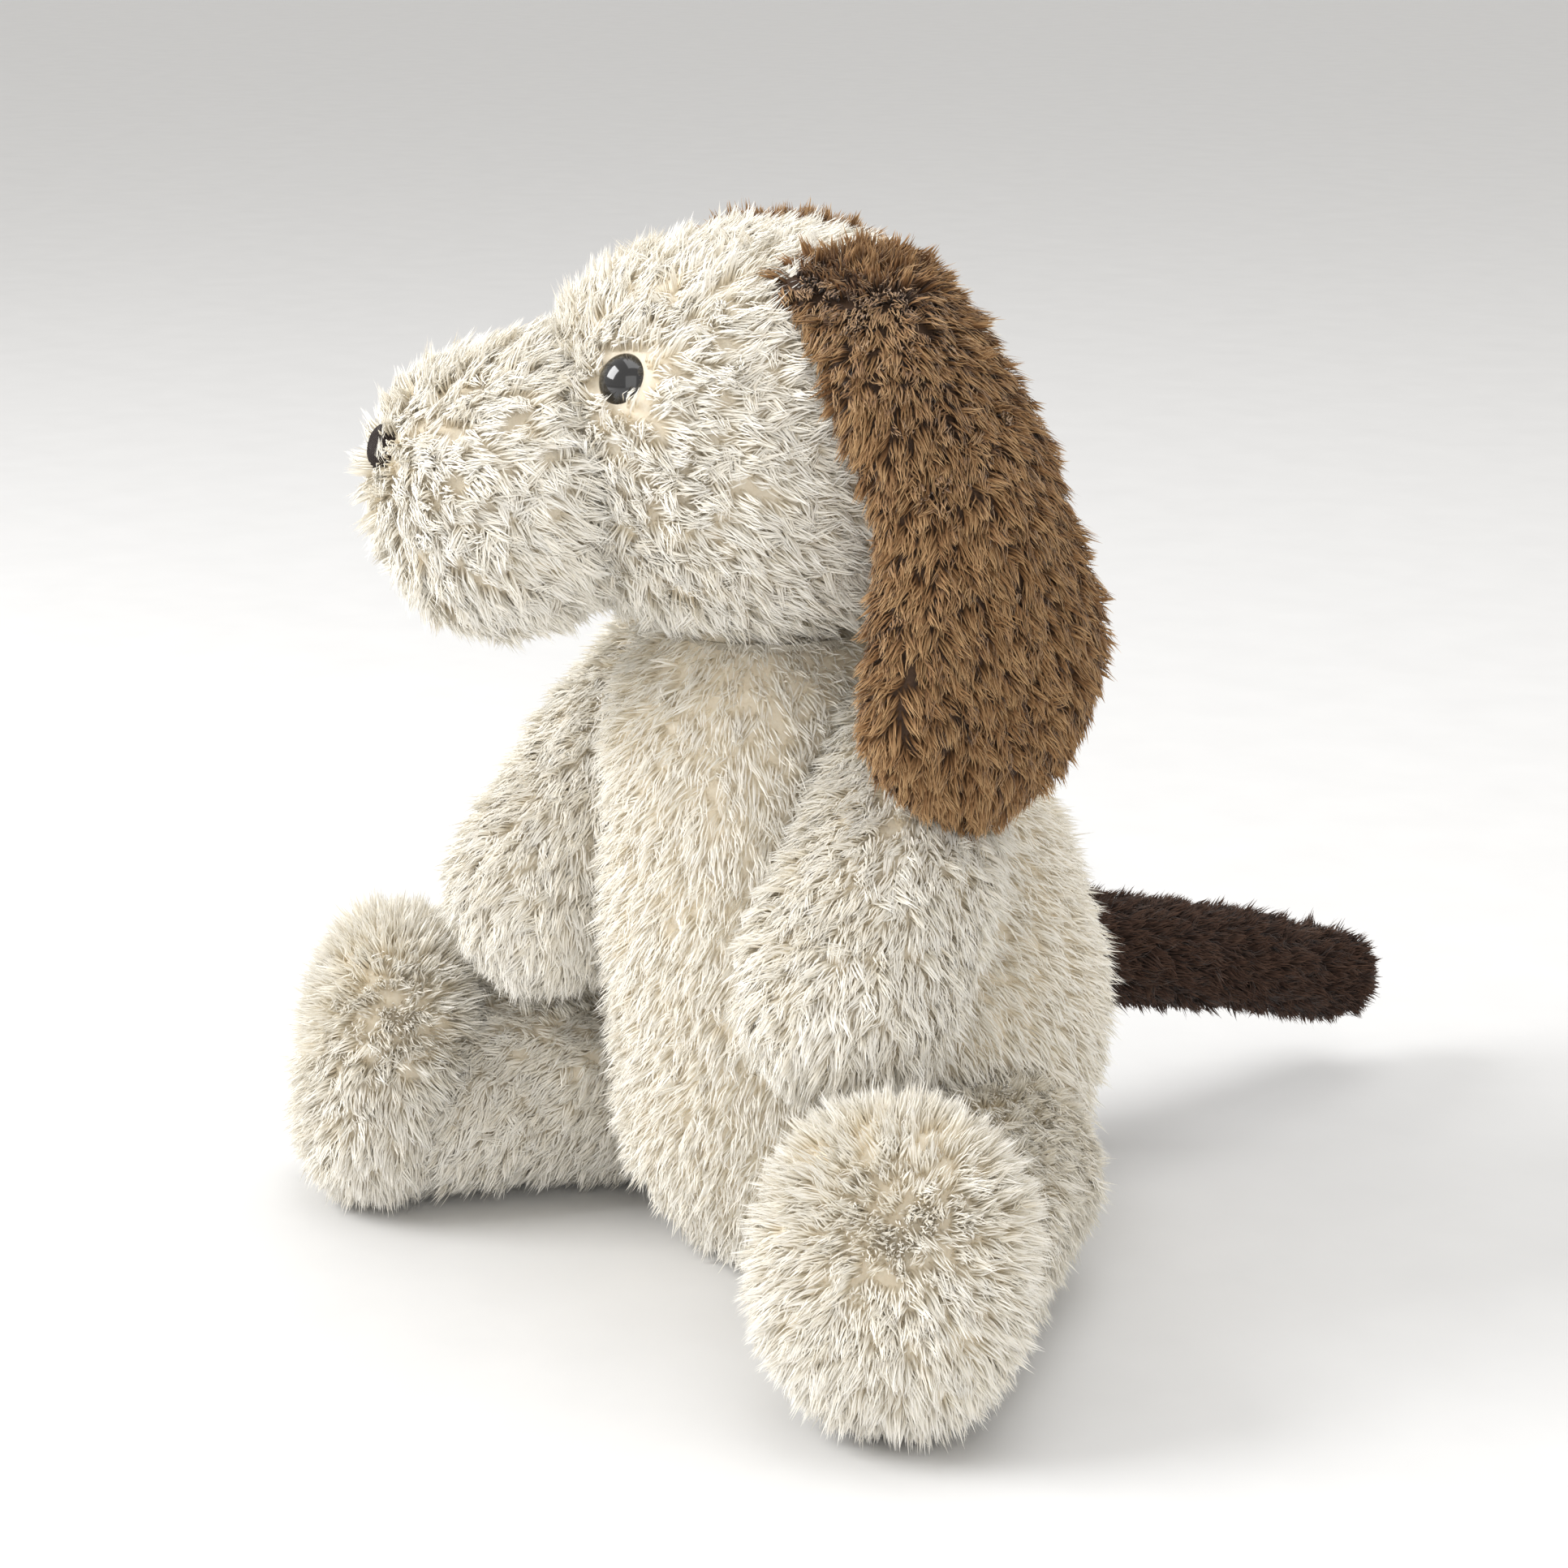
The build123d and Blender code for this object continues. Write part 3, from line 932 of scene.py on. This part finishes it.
def grow_pile(
    name: str, grid: Array, pile: Pile, hidden_by: list[Form], bare: list[BareSpot]
) -> bpy.types.Object:
    """Grows tufts of pointed blades from a skin.

    Each tuft has a root on the skin and a tip over it, along a mix of the skin's outward
    direction and the comb. Its blades start on a disc round the root and run together towards
    the tip, bowed outwards, and each shows its flat side to the outside of the tuft.

    Args:
        name: Name of the piece.
        grid: The skin's points.
        pile: How it is cut and combed.
        hidden_by: Neighbouring forms inside which nothing grows.
        bare: Places kept clear.

    Returns:
        The pile as one mesh, with its map from root to tip.
    """
    rng = np.random.default_rng(pile.seed)
    root, out, blades_each = tuft_roots(grid, pile, hidden_by, bare, rng)
    corners = blade_corners(root, out, blades_each, pile, rng)
    tufts, each = len(root), len(BLADE_HEIGHTS)
    count = tufts * blades_each
    base = np.arange(count)[:, None] * each
    quads, triangles = base + np.array([0, 1, 2, 3]), base + np.array([3, 2, 4])
    piece = put_in_mesh(name, corners.reshape(-1, 3), quads, triangles)
    own = np.repeat(rng.random(tufts), blades_each * each)
    spread = pile.tuft.shade_spread * rng.normal(size=count)
    own = np.clip(own + np.repeat(spread, each), 0, 1)
    order = np.concatenate([quads.ravel(), triangles.ravel()])
    mapping = np.stack([own, np.tile(BLADE_HEIGHTS, count)], axis=-1)[order]
    layer = piece.data.uv_layers.new(name=PILE_UV)
    layer.data.foreach_set("uv", mapping.astype(np.float32).ravel())
    LOG.info("%s: %d tufts, %d blades", name, tufts, count)
    return piece


# Sub-assemblies


@dataclass
class StuffedPart:
    """One stuffed part of the toy: its padded skin and the pile on it."""

    name: str
    body: str
    nodes: tuple[str, ...]
    form: Form
    pile: Pile
    cloth: PlainFinish
    slot: str
    hidden_by: list[Form] = field(default_factory=list)
    bare: list[BareSpot] = field(default_factory=list)
    lump_height: float = 0.9
    lump_size: float = 34.0
    fill: float = 0.7

    def build(self, finishes: dict[str, bpy.types.Material]) -> None:
        """Builds the skin and its pile and says which body they ride on.

        Args:
            finishes: Materials by name.
        """
        grid = self.form.grid()
        lumps = soft_lumps(grid, self.lump_size * MM, self.lump_height * MM, self.pile.seed)
        grid = grid + grid_normals(grid) * lumps[..., None]
        grid[..., 2] = np.maximum(grid[..., 2], FLOOR_CLEARANCE)
        skin = closed_skin(self.name + "_skin", grid)
        skin.data.materials.append(finishes[self.cloth.name])
        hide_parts(*self.nodes)
        coat = grow_pile(self.name + "_pile", grid, self.pile, self.hidden_by, self.bare)
        coat.data.materials.append(finishes[self.pile.finish.name])
        for piece in (skin, coat):
            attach(piece, self.body)


@dataclass
class Eye:
    """Moulded black eye: a polished dome with a rolled rim, over the skin of the head."""

    side: str
    middle: Array
    outward: Array
    radius: float = 6.2
    height: float = 5.4
    sunk: float = 2.2
    back_rings: Triple = (0.35, 0.8, 0.97)
    rim_sunk: float = 0.8
    rows: int = 26
    columns: int = 64

    def build(self, finishes: dict[str, bpy.types.Material]) -> None:
        """Turned profile: a quarter of an ellipse from the rim to the top, closed below.

        Args:
            finishes: Materials by name.
        """
        climb = np.linspace(0, math.pi / 2, self.rows)[:-1]
        ring = np.concatenate([self.back_rings, np.cos(climb)]) * self.radius * MM
        level = np.concatenate([
            [-self.sunk, -self.sunk, -self.sunk * self.rim_sunk], self.height * np.sin(climb),
        ]) * MM
        side = unit(np.cross(self.outward, UP))
        across = np.cross(self.outward, side)
        turn = np.linspace(0, 2 * math.pi, self.columns, endpoint=False)
        spoke = np.cos(turn)[:, None] * side + np.sin(turn)[:, None] * across
        grid = self.middle + ring[:, None, None] * spoke + level[:, None, None] * self.outward
        dome = closed_skin(self.side + "_eye_dome", grid)
        dome.data.materials.append(finishes[EYE_GLOSS.name])
        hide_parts(self.side + "_eye")
        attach(dome, "head")
        LOG.info("%s eye dome", self.side)


@dataclass
class Nose:
    """Stitched nose: a small rounded pad with the ridges of its upright satin stitches."""

    centre: Array
    axes: Array
    radii: Triple = (8.0, 4.2, 5.4)
    stitches: int = 34
    ridge: float = 0.28

    def build(self, finishes: dict[str, bpy.types.Material]) -> None:
        """Pillow whose surface rises and falls as a sine across its width.

        Args:
            finishes: Materials by name.
        """
        pad = Pillow(self.centre, self.radii, self.axes, round_power=2.5, rows=60, columns=220)
        grid = pad.grid()
        across = (grid - self.centre) @ self.axes[:, 0] / (self.radii[0] * MM)
        wave = np.sin(across * self.stitches * math.pi / 2) * self.ridge * MM
        grid = grid + grid_normals(grid) * wave[..., None]
        nose = closed_skin("nose_pad", grid)
        nose.data.materials.append(finishes[NOSE_STITCH.name])
        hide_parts("nose_embroidery")
        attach(nose, "head")
        LOG.info("nose pad with %d stitches", self.stitches)


@dataclass
class PlushDog:
    """The whole toy: shapes of its stuffed parts, in mm, in the CAD's frame."""

    frame: dict
    torso_sections: tuple[Section, ...] = (
        (0, 27, 32, 1), (5, 36, 42, 1), (14, 43, 50, 1), (30, 49.5, 57, 1), (60, 52, 60, 1),
        (85, 47, 58.5, -3.5), (105, 42.5, 53.5, -9.5), (125, 36, 47, -17),
        (140, 29.5, 36, -23.5), (154, 20, 23, -27.5),
    )
    skull_radii: Triple = (45.0, 48.0, 42.0)
    skull_swell: Triple = (0.0, 4.0, 2.0)
    skull_radius: float = 46.0
    muzzle_radii: Triple = (30.5, 27.5, 29.0)
    muzzle_swell: Triple = (0.0, 3.0, 3.5)
    nose_height: float = 9.5
    nose_forward: float = 25.4
    nose_lean: float = -14.0
    nose_bare: float = 4.4
    eye_bare: float = 7.2
    parting_drop: float = 6.0           # the face's pile is combed away from under the nose
    ear_turn: float = 25.0
    ear_clearance: float = 6.0          # the ears' pile starts this far outside the skull
    ear_stations: tuple[Station, ...] = (
        (30, 36, -3, 20, 6.5), (44, 28, -3, 19.5, 9.5), (55, 14, -5, 22, 11), (62, -3, -8, 24, 12),
        (66, -20, -11, 26.5, 12), (69, -37, -11, 28.5, 12.5), (70, -52, -8, 28.5, 12.5),
        (70, -62, -7, 23, 10.5), (70, -69, -7, 14, 6), (70, -72.5, -7, 5, 2),
    )
    arm_radii: Triple = (15.5, 20.5, 21.0)
    arm_bow: Triple = (0.5, 1.5, 0)
    arm_top: Triple = (43, -20, 129)
    paw: Triple = (52, -50, 82)
    leg_radii: Triple = (21.0, 22.5, 23.0)
    ankle: Triple = (82, -60, 28)
    foot_centre: Triple = (90, -72, 35.5)
    foot_radii: dict[str, Triple] = field(default_factory=lambda: {
        "left": (25.6, 17.2, 30.0), "right": (26.6, 16.2, 32.2),
    })
    foot_splay: float = 30.5
    foot_lean: dict[str, float] = field(default_factory=lambda: {"left": 20.0, "right": 12.0})
    tail_radii: Triple = (12.5, 11.2, 9.0)
    tail_tip: Triple = (3, 169, 27)
    tail_bow: Triple = (0, 0, 1.5)

    def pivot(self, joint: str) -> Array:
        """Place of a joint's axis.

        Args:
            joint: Name of the joint.

        Returns:
            The place, in metres.
        """
        joints = self.frame["record"]["behaviour"]["joints"]
        return np.array(next(j["pos_m"] for j in joints if j["name"] == joint))

    def head_frame(self) -> tuple[Array, Array, Array]:
        """Centres of the skull and the muzzle, and the head's own axes as columns.

        The skull's ball touches the top of its cover, and the head faces along the level line
        from the middle of the skull to the middle of the muzzle.

        Returns:
            Middle of the skull, middle of the muzzle, and the axes.
        """
        low, high = (np.array(corner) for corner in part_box("head_cover"))
        skull = (low + high) / 2
        skull[2] = high[2] - self.skull_radius * MM
        muzzle = sum(np.array(corner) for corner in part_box("muzzle_cover")) / 2
        forward = muzzle - skull
        degrees = math.degrees(math.atan2(forward[0], -forward[1]))
        return skull, muzzle, upright_turn(degrees)

    @staticmethod
    def mirrored(point: Triple, sign: int) -> Array:
        """The point on the dog's left, or on its right where the sign is minus one."""
        return np.array(point) * (sign, 1, 1)

    def head_parts(self, torso: Form) -> tuple[list[StuffedPart], list[Eye | Nose]]:
        """Skull, muzzle and ears as stuffed parts, and the eyes and the nose.

        Args:
            torso: The torso's form, which hides what lies in it.

        Returns:
            The stuffed parts and the small pieces.
        """
        skull_at, muzzle_at, axes = self.head_frame()
        skull = Pillow(skull_at, self.skull_radii, axes, round_power=2.35,
                       side_power=2.1, swell=self.skull_swell, rows=110, columns=150)
        muzzle = Pillow(
            muzzle_at, self.muzzle_radii, axes, swell=self.muzzle_swell, rows=84, columns=110)
        nose_at = muzzle_at + axes @ (np.array([0, -self.nose_forward, self.nose_height]) * MM)
        small: list[Eye | Nose] = [Nose(nose_at, axes @ leaning_turn(self.nose_lean))]
        bare = [BareSpot(nose_at, self.nose_bare)]
        for side, _ in SIDES:
            middle = sum(np.array(corner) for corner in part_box(side + "_eye")) / 2
            outward = unit(middle - skull_at)
            base = skull_at + outward * self.skull_radius * MM
            small.append(Eye(side, base, outward))
            bare.append(BareSpot(base, self.eye_bare))
        parting = tuple(nose_at + axes @ (np.array([0, 0, -self.parting_drop]) * MM))
        parts = [
            StuffedPart(
                "head", "head", ("head_cover",), skull,
                Pile(CREAM_PILE, Comb((0, 0, -0.25), parting), seed=11, lean=0.58,
                     unruly=0.5, tuft_radius=2.1, gather=0.5),
                CREAM_CLOTH, "cream_plush", [muzzle, torso], bare),
            StuffedPart(
                "muzzle", "head", ("muzzle_cover",), muzzle,
                Pile(CREAM_PILE, Comb((0, 0, -0.35), parting), seed=12, lean=0.6,
                     unruly=0.5, tuft_radius=2.1, gather=0.5),
                CREAM_CLOTH, "cream_plush", [skull], bare),
        ]
        wider = tuple(radius + self.ear_clearance for radius in self.skull_radii)
        around = Pillow(skull_at, wider, axes)
        turn = math.radians(self.ear_turn)
        for side, sign in SIDES:
            outward = axes @ np.array([sign * math.cos(turn), math.sin(turn), 0.0])
            forward = axes @ np.array([sign * math.sin(turn), -math.cos(turn), 0.0])
            ear = HangingEar(self.ear_stations, skull_at, outward, forward)
            parts.append(StuffedPart(
                side + "_ear", side + "_ear", (side + "_ear_outer", side + "_ear_lining"), ear,
                Pile(EAR_PILE, Comb((0, 0, -1)), seed=20 + sign, length=6.5, lean=0.6,
                     tuft_radius=1.9, blade_width=0.45, blades_per_mm2=3.4, most_blades=62000),
                EAR_CLOTH, "golden_brown_plush", [around], lump_height=1.8, lump_size=40.0))
        return parts, small

    def limb_parts(self, torso: Form) -> list[StuffedPart]:
        """Arms, legs and feet on both sides, and the tail.

        Args:
            torso: The torso's form, which hides what lies in it.

        Returns:
            The stuffed parts.
        """
        parts = []
        for side, sign in SIDES:
            seed = 30 if side == "left" else 40
            leg_name = side + "_leg"
            arm = Limb(
                self.mirrored(self.arm_top, sign) * MM, self.mirrored(self.paw, sign) * MM,
                self.arm_radii, self.mirrored(self.arm_bow, sign) * MM)
            leg = Limb(
                self.pivot(side + "_leg_splay"), self.mirrored(self.ankle, sign) * MM,
                self.leg_radii)
            axes = upright_turn(sign * self.foot_splay) @ leaning_turn(-self.foot_lean[side])
            foot = Pillow(
                self.mirrored(self.foot_centre, sign) * MM, self.foot_radii[side], axes,
                round_power=2.2, side_power=2.6, rows=76, columns=130)
            parts += [
                StuffedPart(
                    side + "_arm", side + "_arm", (side + "_arm_cover",), arm,
                    Pile(CREAM_PILE, Comb((0, -0.35, -1)), seed=seed + 1, lean=0.55),
                    CREAM_CLOTH, "cream_plush", [torso]),
                StuffedPart(
                    leg_name, leg_name, (leg_name + "_cover",), leg,
                    Pile(CREAM_PILE, Comb((sign * 0.35, -0.6, -0.5)), seed=seed + 2, lean=0.55),
                    CREAM_CLOTH, "cream_plush", [torso, foot]),
                StuffedPart(
                    side + "_foot", leg_name, (side + "_sole_panel",), foot,
                    Pile(CREAM_PILE, Comb((0, 0, -0.5), tuple(foot.centre)),
                         seed=seed + 3, lean=0.42),
                    CREAM_CLOTH, "cream_plush", [leg]),
            ]
        root, tip = self.pivot("tail_wag"), np.array(self.tail_tip) * MM
        tail = Limb(root, tip, self.tail_radii, np.array(self.tail_bow) * MM)
        parts.append(StuffedPart(
            "tail", "tail", ("tail_cover",), tail,
            Pile(TAIL_PILE, Comb(tuple(unit(tip - root))), seed=50, length=6.0, lean=0.62,
                 blades_per_mm2=3.4),
            TAIL_CLOTH, "dark_brown_plush", [torso]))
        return parts

    def build(self) -> None:
        """Builds and dresses every part, then finishes the inner CAD parts."""
        finishes = [CREAM_PILE, EAR_PILE, TAIL_PILE, CREAM_CLOTH, EAR_CLOTH, TAIL_CLOTH]
        finishes += [NOSE_STITCH, EYE_GLOSS, *INNER_FINISHES.values()]
        materials = {finish.name: finish.material() for finish in finishes}
        torso = Stack(self.torso_sections)
        limbs = self.limb_parts(torso)
        heads, small = self.head_parts(torso)
        covers = [part.form for part in limbs if isinstance(part.form, Limb)]
        StuffedPart(
            "torso", "torso", ("torso_cover",), torso,
            Pile(CREAM_PILE, Comb((0, 0, -1)), seed=5), CREAM_CLOTH, "cream_plush",
            covers + [heads[0].form], fill=0.6,
        ).build(materials)
        for part in [*heads, *limbs]:
            part.build(materials)
        for piece in small:
            piece.build(materials)
        self.finish_inner_parts(materials)

    def finish_inner_parts(self, materials: dict[str, bpy.types.Material]) -> None:
        """Gives each carried-over CAD part the finish of its slot.

        Args:
            materials: Materials by name.
        """
        for part in self.frame["record"]["subparts"]:
            finish = INNER_FINISHES.get(part["material_slot"])
            if finish is None:
                continue
            mesh = self.frame["nodes"][part["node"]].data
            mesh.materials.clear()
            mesh.materials.append(materials[finish.name])
            LOG.info("%s in %s", part["node"], finish.name)


# Studio


@dataclass(frozen=True)
class Lamp:
    """Square soft light: where it stands and its side in metres, its power in watts."""

    name: str
    place: Triple
    size: float
    power: float


@dataclass(frozen=True)
class Studio:
    """Pale floor, soft light and the camera, sizes in metres and angles in degrees."""

    azimuth: float = 48.5
    elevation: float = 15.0
    distance: float = 0.850
    target: Triple = (0.0, -0.0227, 0.1125)
    lens: float = 85.6
    farthest: float = 10.0
    floor_half: float = 14.0
    lamps: tuple[Lamp, ...] = (
        Lamp("key", (-0.75, -1.15, 1.05), 0.9, 20.0),
        Lamp("fill", (1.2, -0.9, 0.6), 1.2, 4.0),
        Lamp("top", (0.1, 0.2, 1.5), 1.2, 7.0),
    )
    sky_colour: Triple = (1.0, 0.985, 0.96)
    sky_strength: float = 0.7

    def build(self) -> None:
        """Sets up the floor, the lights, the even light from all round and the camera."""
        self.floor()
        for lamp in self.lamps:
            self.light(lamp)
        world = bpy.data.worlds.new("studio")
        world.use_nodes = True
        background = world.node_tree.nodes["Background"]
        background.inputs["Color"].default_value = (*self.sky_colour, 1.0)
        background.inputs["Strength"].default_value = self.sky_strength
        scene = bpy.context.scene
        scene.world = world
        scene.view_settings.view_transform = "Standard"
        self.camera()

    def floor(self) -> None:
        """Level pale sheet under the toy."""
        half = self.floor_half
        corners = np.array([[-half, -half, 0], [half, -half, 0], [half, half, 0], [-half, half, 0]])
        ground = put_in_mesh("floor", corners, np.array([[0, 1, 2, 3]]))
        paper = PlainFinish(
            "floor_paper", (0.80, 0.80, 0.80), (0.83, 0.83, 0.83), Grain.MOULDED, 30.0, 0.02)
        ground.data.materials.append(paper.material())

    def light(self, lamp: Lamp) -> None:
        """Adds a light that faces the toy.

        Args:
            lamp: The light.
        """
        data = bpy.data.lights.new(lamp.name, "AREA")
        data.size = lamp.size
        data.energy = lamp.power
        light = bpy.data.objects.new(lamp.name, data)
        light.location = lamp.place
        aim = Vector(self.target) - Vector(lamp.place)
        light.rotation_euler = aim.to_track_quat("-Z", "Y").to_euler()
        bpy.context.scene.collection.objects.link(light)

    def camera(self) -> None:
        """Camera on a sphere round the target."""
        turn, climb = math.radians(self.azimuth), math.radians(self.elevation)
        back = Vector((
            math.sin(turn) * math.cos(climb), -math.cos(turn) * math.cos(climb), math.sin(climb),
        ))
        data = bpy.data.cameras.new("camera")
        data.lens = self.lens
        data.clip_end = self.farthest
        camera = bpy.data.objects.new("camera", data)
        camera.location = Vector(self.target) + back * self.distance
        camera.rotation_euler = (-back).to_track_quat("-Z", "Y").to_euler()
        bpy.context.scene.collection.objects.link(camera)
        bpy.context.scene.camera = camera


def main() -> None:
    """Builds the toy and its studio in order."""
    logging.basicConfig(level=logging.INFO, format="%(message)s")
    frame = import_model()
    PlushDog(frame).build()
    Studio().build()


if __name__ == "__main__":
    main()
